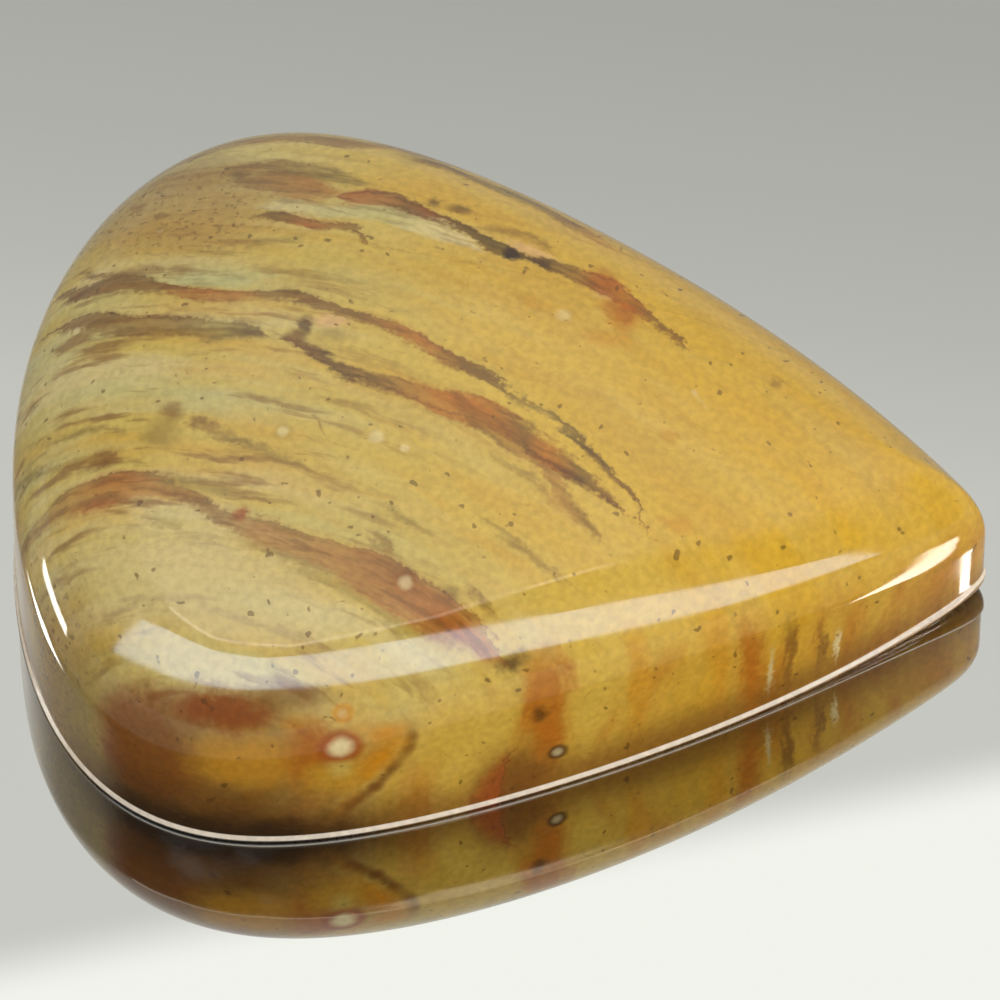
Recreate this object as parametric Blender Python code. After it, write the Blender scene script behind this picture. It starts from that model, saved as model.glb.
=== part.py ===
# A polished mookaite cabochon: a pear-shaped, high-domed stone cut with a flat back.
# Metres, +Z up. The flat back lies on z = 0, the tip points along +X and the broad end along -X.
import math

import bmesh
import bpy

MM = 0.001

# Outline, seen from above: half sizes, and how its width changes from the broad end to the tip
HALF_LENGTH = 20.0 * MM
HALF_WIDTH = 13.5 * MM
TAPER = 0.69
TIP_FULLNESS = 0.05
TIP_FALLOFF = 8
END_FULLNESS = 0.012
FLANK_FULLNESS = 0.017
CORNER_FULLNESS = 0.030

# How far the -Y side bulges past the +Y side: at mid length, and the rest toward the broad end
FRONT_BULGE = 1.9 * MM
BULGE_TOWARD_END = 1.0 * MM

# Crown: its highest point, and how far it falls toward the tip, the broad end and the sides
CROWN_HEIGHT = 12.4 * MM
CROWN_X = -6.0 * MM
TIP_FALL = 5.5 * MM
END_FALL = 3.2 * MM
SIDE_FALL = 3.4 * MM
SIDE_REACH = 16.0 * MM

# Rounded shoulder between crown and wall, and the small round where the wall meets the back
SHOULDER_WIDTH = 4.0 * MM
SHOULDER_DROP = 3.5 * MM
EDGE_RADIUS = 0.5 * MM

SEGMENTS = 80
EDGE_STEPS = 4
DOME_STEPS = 16
DOME_SPACING = 1.8


def outline_point(angle):
    # A point of the widest outline, at an angle counted from the tip.
    along = math.cos(angle)
    across = math.sin(angle)
    width = 1 - TAPER * along - END_FULLNESS * math.cos(2 * angle)
    width -= FLANK_FULLNESS * math.cos(3 * angle) + CORNER_FULLNESS * math.cos(4 * angle)
    width += TIP_FULLNESS * (0.5 + 0.5 * along) ** TIP_FALLOFF
    bulge = FRONT_BULGE - BULGE_TOWARD_END * along
    return HALF_LENGTH * along, HALF_WIDTH * across * width - bulge * across**2


def reach_to_edge(angle):
    # The distance from the stone's axis to the outline, square to the outline's own direction.
    step = math.pi / SEGMENTS
    x1, y1 = outline_point(angle - step)
    x2, y2 = outline_point(angle + step)
    return (x1 * y2 - x2 * y1) / math.hypot(x2 - x1, y2 - y1)


def crown_height(x, y):
    # The crown over a point, before its shoulder is rounded off.
    toward_tip = max(0.0, (x - CROWN_X) / (HALF_LENGTH - CROWN_X))
    toward_end = max(0.0, (CROWN_X - x) / (HALF_LENGTH + CROWN_X))
    fall = TIP_FALL * (2 * toward_tip**2 - toward_tip**3) + END_FALL * toward_end**2
    return CROWN_HEIGHT - fall - SIDE_FALL * (y / SIDE_REACH) ** 2


def shoulder_drop(inset):
    # How far the rounded shoulder lies under the crown, at a distance in from the edge.
    part = min(1.0, inset / SHOULDER_WIDTH)
    return SHOULDER_DROP * (1 - math.sqrt(1 - (1 - part) ** 2))


def edge_point(angle, step):
    # The small round from the flat back up to the wall.
    turn = math.radians(90) * step / (EDGE_STEPS - 1)
    share = 1 - EDGE_RADIUS * (1 - math.sin(turn)) / reach_to_edge(angle)
    x, y = outline_point(angle)
    return share * x, share * y, EDGE_RADIUS * (1 - math.cos(turn))


def dome_point(angle, step):
    # The wall's top edge at step 0, then over the shoulder and up to the stone's axis.
    drawn_in = (step / DOME_STEPS) ** DOME_SPACING
    x, y = outline_point(angle)
    x *= 1 - drawn_in
    y *= 1 - drawn_in
    return x, y, crown_height(x, y) - shoulder_drop(drawn_in * reach_to_edge(angle))


def surface_point(angle, ring):
    # A point of the stone: ring 0 is the middle of the flat back, the last one is on the crown.
    if ring == 0:
        return 0.0, 0.0, 0.0
    if ring <= EDGE_STEPS:
        return edge_point(angle, ring - 1)
    return dome_point(angle, ring - EDGE_STEPS - 1)


def clear_scene():
    for item in list(bpy.data.objects):
        bpy.data.objects.remove(item, do_unlink=True)


def stone_material():
    material = bpy.data.materials.new("polished_stone")
    material.use_nodes = True
    shader = material.node_tree.nodes["Principled BSDF"]
    shader.inputs["Base Color"].default_value = (0.52, 0.34, 0.12, 1.0)
    shader.inputs["Roughness"].default_value = 0.12
    shader.inputs["Metallic"].default_value = 0.0
    return material


def make_cabochon(collection):
    # The rings of a sphere become the rings of the stone, from its flat back to its crown.
    last_ring = EDGE_STEPS + 1 + DOME_STEPS
    shape = bmesh.new()
    bmesh.ops.create_uvsphere(shape, u_segments=SEGMENTS, v_segments=last_ring, radius=1)
    for vertex in shape.verts:
        ring = round(last_ring * (1 - math.acos(max(-1.0, min(1.0, vertex.co.z))) / math.pi))
        vertex.co = surface_point(math.atan2(vertex.co.y, vertex.co.x), ring)
    sides = [vertex.co.y for vertex in shape.verts]
    bmesh.ops.translate(shape, verts=shape.verts, vec=(0, -(min(sides) + max(sides)) / 2, 0))
    mesh = bpy.data.meshes.new("cabochon")
    shape.to_mesh(mesh)
    shape.free()
    mesh.shade_smooth()
    mesh.set_sharp_from_angle(angle=math.radians(40))
    mesh.materials.append(stone_material())
    stone = bpy.data.objects.new("cabochon", mesh)
    collection.objects.link(stone)


def main():
    clear_scene()
    collection = bpy.data.collections.new("mookaite")
    bpy.context.scene.collection.children.link(collection)
    make_cabochon(collection)


main()
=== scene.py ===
import math

import bpy
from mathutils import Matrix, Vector


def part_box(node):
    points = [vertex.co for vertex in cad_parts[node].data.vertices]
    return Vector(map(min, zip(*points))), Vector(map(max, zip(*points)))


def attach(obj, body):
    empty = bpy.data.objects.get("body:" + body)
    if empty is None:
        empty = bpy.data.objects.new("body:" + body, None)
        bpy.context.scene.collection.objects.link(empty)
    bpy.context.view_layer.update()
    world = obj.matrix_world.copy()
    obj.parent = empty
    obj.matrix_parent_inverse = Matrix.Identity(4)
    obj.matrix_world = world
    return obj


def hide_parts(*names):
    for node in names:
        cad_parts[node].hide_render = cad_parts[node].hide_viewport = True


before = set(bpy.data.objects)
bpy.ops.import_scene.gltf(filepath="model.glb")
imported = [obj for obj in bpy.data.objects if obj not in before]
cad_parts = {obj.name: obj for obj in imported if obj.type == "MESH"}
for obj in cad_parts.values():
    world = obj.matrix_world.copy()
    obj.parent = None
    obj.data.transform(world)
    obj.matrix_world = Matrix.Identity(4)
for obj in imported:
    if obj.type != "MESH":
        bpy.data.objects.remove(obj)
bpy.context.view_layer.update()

# A polished mookaite cabochon on a pale mirror-like table, in soft studio light.
# Lengths are in millimetres until they reach Blender; x runs to the tip, y to the back, z up.
mm = 0.001
low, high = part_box("cabochon")

stone = {
    "segments": 300,
    "rings": 200,
    "halfLength": (high.x - low.x) / 2 / mm,
    "halfWidth": 13.5,
    "taper": 0.69,
    "tipFullness": 0.05,
    "tipFalloff": 8.0,
    "endFullness": 0.012,
    "flankFullness": 0.017,
    "cornerFullness": 0.030,
    "frontBulge": 1.9,
    "bulgeTowardEnd": 1.0,
    "crownHeight": high.z / mm,
    "crownX": -6.0,
    "tipFall": 5.5,
    "endFall": 3.2,
    "sideFall": 3.4,
    "sideReach": 16.0,
    "shoulderWidth": 4.0,
    "shoulderDrop": 3.5,
    "edgeRadius": 0.12,
    "tipRound": 0.95,       # how much larger the edge radius grows at the tip
    "tipRoundFocus": 14.0,  # how closely that keeps to the tip
    "leanFrom": 4.2,        # the wall leans in a little above this height
    "leanRate": 0.02,
    "lipTop": 0.36,         # top of the small bright bevel above the back
    "lipDepth": 0.10,       # how far the wall stands back from it
    "polishWave": 0.03,     # how far the hand polish wanders from the true curve
    "polishWaveSize": 7.0,
    "waveOverCrown": 2.0,   # how much further it wanders at the top
}

# Shares of the sphere's rings that make each part of the stone, from the back up
ringShares = {"back": 0.08, "edge": 0.11, "lip": 0.17, "wall": 0.27, "domeSpacing": 1.7}
reachStep = math.pi / 80    # half the angle over which the outline's direction is taken
bevelFade = 0.2             # how softly the bevel starts and ends, as a share of its height

paints = {
    "khaki": "#bba24f",
    "cream": "#c3b27c",
    "sage": "#b1ab72",
    "straw": "#c5a240",
    "mustard": "#c69a26",
    "honey": "#bd8e26",
    "ochre": "#b98220",
    "tan": "#99743a",
    "drab": "#93702f",
    "olive": "#867031",
    "umber": "#744918",
    "coffee": "#4f3110",
    "soot": "#291b0a",
    "brick": "#984a1a",
    "rust": "#a5590b",
    "russet": "#93571a",
    "terracotta": "#995f2c",
    "maroon": "#7c3a0c",
    "amber": "#bf7d14",
    "blush": "#cfa26e",
    "ivory": "#d9c791",
    # pale paint for the painted highlight on the bevel
    "bevelGlint": "#e6d8c4",
}


def vein(route, tones, softness, strength, **more):
    # Route: x, y and half width where the sheet meets the crown. Tones: x and paint along it.
    return {"route": route, "tones": tones, "softness": softness, "strength": strength, **more}


def blot(centre, radii, turn, paintName, softness, strength, **more):
    # Turned about z by an angle in degrees. Pepper is how strongly dark grains fill it.
    return {"centre": centre, "radii": radii, "turn": turn, "paint": paintName, "softness": softness,
            "strength": strength, **more}


def orb(centre, radius, ring, ringPaint, strength=.5):
    return {"centre": centre, "radius": radius, "ring": ring, "ringPaint": ringPaint, "strength": strength}


def crack(points, halfWidth, paintName, strength):
    return {"points": points, "halfWidth": halfWidth, "paint": paintName, "strength": strength}


# Veins are steep sheets in the stone.
veins = {
    "crestUpper": vein(
        [(-13.4, 10.7, .05), (-12.2, 10.6, .22), (-11, 10.7, .34), (-9.8, 10.5, .45), (-8.4, 10.2, .36),
         (-7.3, 9.9, .28), (-6.5, 9.8, .05)],
        [(-12, "umber"), (-8, "olive")], .6, .85),
    "crestBroad": vein(
        [(-12.6, 9.6, .1), (-11, 9.6, .55), (-9.8, 9.4, .68), (-8.6, 9.1, .5), (-7.6, 8.9, .1)],
        [(-12, "umber"), (-9.5, "russet")], .9, .8),
    "creamWedge": vein(
        [(-11.4, 7.9, .1), (-10, 8.1, .34), (-8, 7.9, .34), (-6, 8.1, .4), (-4.6, 7.8, .52),
         (-3, 7.4, .4), (-2, 7.0, .22), (-1.2, 6.7, .05)],
        [(-10, "cream"), (-6, "sage"), (-3, "ivory")], .7, .75),
    "crest": vein(
        [(-8.2, 8.7, .05), (-7.3, 8.8, .36), (-6.4, 8.95, .44), (-5.4, 8.85, .34), (-4.4, 8.45, .26),
         (-3.3, 8.2, .2), (-2.3, 7.8, .24), (-1.6, 7.4, .28), (-.6, 7.0, .26), (.2, 6.9, .16),
         (.9, 6.8, .26), (1.8, 6.75, .3), (2.8, 6.5, .42), (3.8, 6.3, .56), (4.5, 5.9, .46),
         (5.1, 5.5, .25), (6, 4.9, .13), (6.9, 4.4, .1), (7.6, 3.9, .02)],
        [(-7.4, "brick"), (-6, "terracotta"), (-5, "umber"), (-4.1, "maroon"), (-3, "coffee"),
         (-.6, "soot"), (1, "coffee"), (2, "umber"), (3.4, "rust"), (4.6, "rust"), (5.6, "umber")],
        .4, .9, lineSide=.7),
    "crestCompanion": vein(
        [(-2.4, 8.1, .05), (-1.4, 8.25, .14), (0, 8.2, .2), (1, 7.8, .12), (1.6, 7.3, .05)],
        [(-1, "umber")], .6, .55),
    "rim": vein(
        [(-5.6, 12.0, .1), (-4.4, 12.2, .3), (-3, 11.7, .22), (-1.5, 11.2, .3), (0, 10.75, .36),
         (1.2, 10.15, .36), (2.3, 9.8, .28), (3.1, 9.3, .2), (4, 8.9, .05)],
        [(-4.4, "umber"), (-1, "olive"), (1.5, "umber"), (3, "ochre")], .6, .85),
    "rimOuter": vein(
        [(-19, 8.5, .2), (-17, 10.6, .3), (-14, 12.4, .35), (-10, 13.0, .45), (-8, 12.7, .35),
         (-6, 13.2, .3), (-3, 12.9, .3), (1, 12.0, .3), (5, 10.4, .25), (9, 8.6, .15), (13, 6.7, .05)],
        [(-15, "tan"), (-8.6, "umber"), (-4, "terracotta"), (3, "umber"), (9, "ochre")], .7, .75),
    "hook": vein(
        [(-11.4, 7.3, .05), (-10.4, 7.45, .18), (-9.4, 7.35, .24), (-8.4, 7.05, .26), (-7.4, 7.0, .16),
         (-6.8, 6.85, .16), (-6.4, 6.3, .2), (-6.1, 5.9, .05)],
        [(-10, "umber"), (-8.6, "brick"), (-7, "umber")], .5, .85, lineSide=.6),
    "hookLower": vein(
        [(-11.4, 5.3, .05), (-10.9, 5.5, .2), (-10, 5.9, .16), (-9.2, 6.1, .14), (-8.7, 6.4, .05)],
        [(-10, "olive")], .6, .6),
    "leftBranch": vein(
        [(-18.4, 5.4, .08), (-17.4, 4.7, .12), (-16.2, 4.1, .2), (-15.3, 4.25, .22), (-14.5, 4.3, .18),
         (-13.8, 4.1, .04)],
        [(-16, "umber")], .5, .7),
    "sageGap": vein(
        [(-14.2, 3.8, .05), (-13, 3.65, .3), (-12, 3.55, .34), (-10.8, 3.6, .3), (-9.6, 3.9, .1)],
        [(-12, "sage")], .7, .7),
    "middle": vein(
        [(-20, 5.2, .25), (-18.2, 4.1, .22), (-17.2, 3.65, .32), (-16, 3.6, .4), (-14.8, 3.45, .36),
         (-13.6, 3.05, .26), (-12.6, 2.72, .3), (-11.4, 2.65, .3), (-10.6, 2.7, .2), (-9, 2.75, .26),
         (-8, 2.5, .24), (-6.6, 2.1, .25), (-5, 1.7, .24), (-3.6, 1.3, .32), (-2.5, .85, .28),
         (-1.4, .4, .22), (0, -.2, .18), (1.3, -.85, .13), (2.4, -1.15, .12), (3.2, -1.65, .14),
         (4.1, -2.35, .22), (5, -3.0, .17), (5.7, -3.55, .17), (6.4, -4.2, .15), (6.6, -4.9, .1),
         (7, -5.7, .03)],
        [(-17, "umber"), (-14.5, "umber"), (-13, "brick"), (-11, "brick"), (-10, "umber"), (-6, "umber"),
         (-3.4, "rust"), (-1, "umber"), (2, "olive"), (4.2, "coffee"), (6, "umber")],
        .45, .85, lineSide=.8),
    "middleLower": vein(
        [(-20, 2.9, .2), (-18.2, 2.0, .14), (-17.3, 1.85, .26), (-16, 1.5, .42), (-14.8, 1.15, .46),
         (-14.0, 1.15, .44), (-12.8, 1.1, .48), (-11.6, .8, .5), (-10.6, .75, .4), (-9.8, .6, .22),
         (-9.2, .4, .04)],
        [(-17, "umber"), (-13, "umber"), (-11, "olive"), (-10.2, "coffee")], .55, .8, lineSide=.8),
    "thickRust": vein(
        [(-9.1, .4, .04), (-8.4, .6, .22), (-7.7, .2, .3), (-7, -.3, .34), (-6, -.85, .33),
         (-5, -1.15, .34), (-4, -1.3, .38), (-3, -1.4, .44), (-2, -1.6, .52), (-1, -1.75, .56),
         (0, -1.85, .52), (.8, -2.1, .48), (1.6, -2.45, .46), (2.5, -2.95, .52), (3.3, -3.35, .5),
         (4, -3.65, .36), (4.8, -4.0, .2), (5.5, -4.4, .12), (6.2, -5.0, .03)],
        [(-8.2, "umber"), (-6.6, "coffee"), (-4.4, "umber"), (-2, "rust"), (0, "rust"), (1.6, "umber"),
         (2.6, "rust"), (3.9, "coffee"), (5, "umber")], .5, .88, lineSide=-.5),
    "rustUnder": vein(
        [(-1.6, -2.2, .03), (-.4, -2.4, .12), (.8, -2.9, .14), (1.8, -3.3, .16), (2.7, -3.9, .2),
         (3.3, -4.5, .3), (4, -5.2, .3), (4.7, -5.7, .2), (5.4, -6.3, .03)],
        [(0, "umber"), (3, "terracotta"), (4.4, "umber")], .55, .62),
    "rustLowest": vein(
        [(.1, -3.4, .03), (.6, -3.6, .13), (1.4, -3.95, .14), (2.2, -4.3, .12), (3, -4.9, .16),
         (3.9, -5.5, .1), (4.6, -6, .02)],
        [(1, "olive"), (3.4, "terracotta")], .6, .55),
    "wisp": vein(
        [(-12.2, -3.75, .04), (-11.6, -3.8, .14), (-10.6, -4.2, .16), (-9.6, -4.6, .17),
         (-8.8, -5.05, .17), (-8, -5.3, .12), (-7, -5.6, .08), (-6.4, -5.7, .02)],
        [(-11, "umber"), (-8, "olive")], .55, .65),
    "leftLineHigh": vein(
        [(-19.6, -2.6, .1), (-18, -3.5, .08), (-17, -3.85, .09), (-16, -3.9, .13), (-15, -4.1, .11),
         (-14, -4.4, .03)],
        [(-16, "olive")], .6, .65),
    "leftLineLow": vein(
        [(-19.6, -4.2, .14), (-18.2, -4.7, .2), (-17, -5.1, .14), (-16, -5.15, .16), (-15.1, -5.3, .26),
         (-14.2, -5.5, .05)],
        [(-18, "olive"), (-15.2, "umber")], .6, .65),
    "broadD": vein(
        [(-20, -6.6, .3), (-18.4, -7.2, .22), (-17.2, -7.0, .34), (-16.2, -6.8, .5), (-15.2, -6.8, .64),
         (-14.2, -6.7, .62), (-13.2, -6.65, .46), (-12, -6.85, .38), (-11, -7.3, .26), (-10.2, -7.8, .22),
         (-9.3, -8.2, .3), (-8, -8.55, .4), (-6.6, -8.85, .48), (-5, -9.25, .62), (-3.8, -9.6, .76),
         (-2.6, -10.0, .8), (-1.4, -10.4, .74), (0, -10.75, .58), (1.2, -11.0, .4), (2.4, -11.2, .2)],
        [(-17.4, "tan"), (-15, "brick"), (-12.6, "terracotta"), (-10.4, "umber"), (-8, "terracotta"),
         (-3, "terracotta"), (0, "brick")], .6, .82, lineSide=.9),
    "broadUpper": vein(
        [(-13.4, -6.1, .03), (-12.2, -6.35, .18), (-11, -6.6, .22), (-10, -6.85, .24), (-9.2, -7.2, .04)],
        [(-11, "olive")], .6, .6),
    "broadShade": vein(
        [(-9.6, -8.8, .03), (-8, -9.1, .14), (-6.6, -9.6, .17), (-5.2, -10.2, .2), (-3.8, -10.75, .22),
         (-2.4, -11.3, .22), (-.8, -11.6, .12)],
        [(-6, "olive")], .7, .5),
    "olivePatch": vein(
        [(-13.2, -7.8, .03), (-12.4, -8.05, .14), (-11.7, -8.35, .15), (-11, -8.6, .03)],
        [(-12, "olive")], .6, .6),
    "thinA": vein(
        [(-3.9, -6.6, .02), (-3.2, -6.85, .12), (-2.4, -7.2, .15), (-1.8, -7.5, .1), (-1.2, -7.7, .02)],
        [(-3, "olive")], .55, .72),
    "thinB": vein(
        [(.1, -6.2, .02), (.8, -6.6, .12), (1.5, -7.0, .12), (2.4, -7.35, .11), (3.6, -7.9, .1),
         (4.8, -8.4, .02)],
        [(1, "olive"), (3, "umber")], .55, .6),
    "thinC": vein(
        [(-4.3, -7.8, .02), (-3.7, -8.1, .16), (-3.1, -8.45, .2), (-2.5, -8.9, .08)],
        [(-3, "umber")], .6, .6),
    "thinD": vein(
        [(.1, -9.2, .02), (.6, -9.5, .13), (1.2, -9.85, .12), (1.9, -10.2, .02)],
        [(1, "umber")], .6, .6),
    "farUpper": vein(
        [(-20, 11.4, .5), (-14, 15.4, .5), (-8, 15.9, .55), (-2, 15.0, .5), (4, 13.2, .45),
         (10, 10.7, .3), (16, 7.6, .2)],
        [(-14, "brick"), (-6, "umber"), (4, "rust"), (12, "ochre")], .6, .7),
    "farLower": vein(
        [(-20, 13.6, .3), (-12, 17.4, .3), (-4, 17.2, .35), (4, 15.2, .3), (12, 12, .25), (18, 9, .1)],
        [(-12, "umber"), (0, "coffee"), (10, "umber")], .5, .75),
}

# Patches are soft blots in the stone: centre, radii, turn, paint, softness, strength.
patches = {
    "creamField": blot((-10.0, -10.9, 9.5), (5.2, 2.3, 5), -10, "cream", .5, .65),
    "farBrown": blot((-14.6, 8.0, 10), (4.2, 2.8, 8), -8, "tan", .5, .62, pepper=.4),
    "endBrown": blot((-17.4, -12.9, 4.6), (3.2, 3.8, 5.6), -30, "drab", .35, .7, pepper=.6),
    "farOchre": blot((-13.8, 10.5, 9), (2.0, 1.1, 6), 0, "umber", .7, .4),
    "farSpotA": blot((-12.2, 9.95, 11), (.42, .3, 2), 0, "coffee", .7, .6),
    "farSpotB": blot((-16.2, 8.6, 9), (.3, .45, 2), 20, "umber", .7, .6),
    "northRust": blot((-8.4, 12.8, 9), (1.3, .55, 4), 0, "umber", .7, .5),
    "northOlive": blot((-5.3, 12.4, 9), (.7, .7, 5), 0, "olive", .7, .6),
    "spotPairA": blot((-3.95, 9.15, 11), (.3, .28, 2), 0, "coffee", .7, .7),
    "spotPairB": blot((-2.85, 9.05, 11), (.42, .26, 2), 0, "coffee", .7, .7),
    "crestSoot": blot((-.45, 7.0, 11.8), (.34, .36, 2), 0, "soot", .5, .95),
    "crestSootB": blot((.85, 6.75, 11.7), (.4, .24, 2), 0, "soot", .6, .75),
    "crestPale": blot((.3, 7.4, 11.6), (.9, .3, 2), -10, "blush", .7, .65),
    "rustHead": blot((3.5, 6.55, 11), (.8, .55, 3), -30, "rust", .6, .85),
    "rustFoot": blot((4.45, 5.2, 11), (.75, .75, 3), 20, "rust", .6, .8),
    "rustTail": blot((4.35, 4.2, 11), (.3, .75, 3), 25, "ochre", .7, .75),
    "rustPoint": blot((3.55, 5.95, 11), (.4, .3, 2), 0, "blush", .7, .6),
    "ochreA": blot((3.8, 3.4, 11), (.7, .4, 2), 0, "ochre", .8, .55),
    "ochreB": blot((.9, 4.5, 11), (.7, .4, 2), -10, "ochre", .8, .45),
    "darkEye": blot((-7.9, 1.15, 12), (.3, .5, 2), 0, "coffee", .6, .85),
    "eyeShine": blot((-7.0, 1.55, 12), (.6, .25, 2), 0, "blush", .7, .7),
    "eyeSage": blot((-6.7, .95, 12), (.6, .3, 2), 0, "olive", .8, .55),
    "wispBlotA": blot((-12.65, -3.3, 11.6), (.42, .5, 2), 0, "umber", .7, .65),
    "wispBlotB": blot((-12.9, -4.4, 11.4), (.7, .6, 2), 0, "olive", .8, .6),
    "leftBlot": blot((-15.0, -5.35, 10.6), (.5, .42, 2), 0, "umber", .7, .6),
    "rustIsland": blot((8.05, -4.5, 9), (.7, .3, 2), 10, "ochre", .7, .65),
    "orangeDot": blot((7.2, -.6, 10.4), (.35, .3, 2), 0, "ochre", .7, .65),
    "brightDot": blot((13.0, 4.4, 6.5), (.5, .6, 2), 0, "straw", .8, .8),
    "dustyDot": blot((10.95, 3.8, 8.6), (.22, .25, 2), 0, "umber", .8, .55),
    "eyeletRust": blot((-9.1, -7.9, 11), (.28, .26, 2), 0, "brick", .6, .85),
    "darkGrainA": blot((-2.0, -9.4, 10.4), (.35, .2, 2), 0, "coffee", .7, .6),
    "darkGrainB": blot((-.2, -9.8, 10.2), (.35, .3, 2), 0, "coffee", .8, .5),
    "duskPatch": blot((-.4, -11.1, 9.4), (.9, .6, 2), 20, "maroon", .8, .45),
    # front wall
    "wallDrab": blot((-14.0, -13.6, 3.0), (2.6, 3.0, 4.2), 40, "olive", .6, .7),
    "wallBrown": blot((-12.0, -15.1, 4.2), (2.3, 2.0, 3.3), 0, "maroon", .35, .85, pepper=.3),
    "wallUmber": blot((-9.0, -15.5, 4.6), (5.4, 2.4, 3.0), 0, "umber", .4, .7),
    "wallMaroon": blot((-8.6, -15.0, 7.2), (2.2, 1.2, .8), 0, "maroon", .45, .9),
    "wallMaroonTail": blot((-6.0, -14.7, 7.9), (1.9, 1.2, .5), 0, "umber", .5, .7),
    "wallAmber": blot((-7.6, -15.8, 4.9), (2.2, 1.4, 1.5), 0, "ochre", .5, .75),
    "wallRust": blot((-5.2, -15.3, 5.6), (.9, 1.2, 1.9), 0, "rust", .6, .7),
    "wallHoney": blot((-4.0, -15.0, 3.9), (1.2, 1.2, .9), 0, "honey", .6, .7),
    # the stone's own dark brown at the foot of the front-left wall, and painted shade darkening it toward the
    # base
    "wallBaseBrownAndShade": blot((-9.5, -15.5, -.3), (7.6, 4, 3.0), 0, "coffee", .55, .92),
    "wallBaseSootAndShade": blot((-9.0, -15.5, -.4), (6.0, 3, 1.7), 0, "soot", .5, .85),
    "wallPale": blot((.8, -12.9, 4.9), (1.9, 1.7, 3.0), 30, "straw", .6, .7),
    "wallBand": blot((4.0, -11.2, 5.6), (1.0, 1.2, 3.4), 30, "rust", .4, .75),
    "wallBandFoot": blot((2.6, -12.0, 1.2), (1.5, 1.3, 2.2), 30, "umber", .6, .85),
    "wallBandHead": blot((2.4, -11.2, 7.8), (.65, .5, .35), 30, "coffee", .7, .85),
    "wallBandSpot": blot((3.6, -11.3, 5.0), (.34, .5, .5), 0, "coffee", .6, .75),
    "wallGlow": blot((5.6, -10.2, 5.0), (1.1, 1.1, 2.6), 33, "straw", .6, .7),
    "wallStreakA": blot((7.3, -9.2, 5.4), (.45, .9, 2.8), 33, "amber", .7, .5),
    "wallStreakB": blot((10.3, -7.2, 4.6), (.5, .9, 2.8), 33, "amber", .7, .5),
    "wallStreakC": blot((11.4, -6.4, 3.6), (.5, .9, 2.6), 33, "rust", .7, .8),
    "wallStreakD": blot((12.9, -5.2, 3.0), (.24, .9, 2.0), 33, "umber", .8, .75),
    "wallStreakE": blot((14.1, -4.3, 2.6), (.2, .9, 1.6), 33, "umber", .8, .7),
    "wallSlashA": blot((12.2, -5.8, 2.4), (.16, .9, 1.0), 33, "cream", .8, .75),
    "wallSlashB": blot((14.6, -3.9, 2.0), (.14, .9, .8), 33, "ivory", .8, .7),
    # painted shade: umber darkening toward the foot of the right wall
    "wallFootShade": blot((8.5, -8.2, .2), (6.5, 5, 1.6), 33, "umber", .7, .35),
}

# Orbs are pale dots, some with a darker ring: centre, radius, how strong the ring is, its paint.
orbs = {
    "wallEye": orb((-4.0, -14.95, 5.65), .5, .9, "brick", strength=.95),
    "wallEyeSmall": orb((-3.9, -14.4, 7.2), .26, .7, "amber"),
    "bandEye": orb((4.3, -11.0, 2.2), .26, .9, "coffee"),
    "crownDotA": orb((-8.0, -4.1, 11.9), .24, .25, "olive"),
    "crownDotB": orb((-4.3, -3.8, 11.9), .3, .1, "ochre"),
    "crownDotC": orb((-3.1, -4.1, 11.8), .18, .1, "ochre"),
    "crownDotD": orb((2.2, 4.2, 11.6), .36, .15, "ochre"),
    "crownDotE": orb((-15.4, -1.2, 11.0), .22, .2, "olive"),
    "crownDotF": orb((-17.4, 1.5, 9.9), .18, .2, "umber"),
    "crownDotG": orb((-14.7, 6.6, 10.6), .2, .2, "umber"),
    "bandDot": orb((-2.1, -9.8, 10.4), .28, .2, "maroon"),
}

# Cracks are soft hairlines through a few points: half width, paint, strength.
cracks = {
    "crownSplit": crack(
        [(-6.9, -3.1, 12), (-6.1, -4.4, 11.8), (-5.3, -5.5, 11.5), (-5.6, -6.1, 11.4)], .1, "umber", .55),
    "crossLine": crack(
        [(3.75, 9.6, 9.8), (3.8, 8, 10.8), (3.75, 6.7, 11.1)], .09, "umber", .6),
    "rightHair": crack(
        [(9.9, 2.8, 9.4), (10.3, 2.2, 9.3), (10.3, 1.4, 9.3)], .09, "umber", .5),
    "wallArc": crack(
        [(-5.8, -15.3, 7.0), (-5.2, -15.2, 7.4), (-4.2, -15.0, 7.1), (-3.2, -14.8, 6.8),
         (-2.4, -14.5, 6.1), (-1.7, -14.1, 6.1)], .75, "amber", .8),
    "wallHook": crack(
        [(-1.0, -13.9, 6.2), (-1.2, -13.95, 5.6), (-1.4, -14.0, 4.8), (-1.9, -14.2, 3.9),
         (-2.6, -14.4, 2.8), (-3.6, -14.8, 1.9)], .5, "umber", .85),
    "wallHookShade": crack(
        [(-1.9, -14.2, 5.4), (-2.4, -14.3, 4.6), (-2.9, -14.5, 3.9)], .9, "amber", .75),
    "wallEyeTail": crack(
        [(-4.0, -14.95, 4.9), (-4.0, -14.95, 4.3)], .8, "khaki", .8),
    "paleSlash": crack(
        [(7.8, 2.0, 10.2), (8.9, 1.0, 10)], .22, "ivory", .6),
}

# How the beds of the stone lie, in millimetres
bedding = {
    "dipFrom": 2.6,                 # depth under the crown where the beds start to dip
    "dip": (-0.10, 0.22, 0.0),
    "lean": 0.3,                    # how the beds run across, and how they bend
    "bend": 0.01,
    "stretch": (0.16, 0.22),        # along the beds and upward
    "fray": 0.3,
    "tatter": 0.16,
}

# How far noise pushes each place about
wanders = {
    "broad": {"Size": 2.6, "Amount": .22},
    "fine": {"Size": .7, "Amount": .09},
    "ragged": {"Size": 1.3, "Amount": .5},
}

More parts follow.
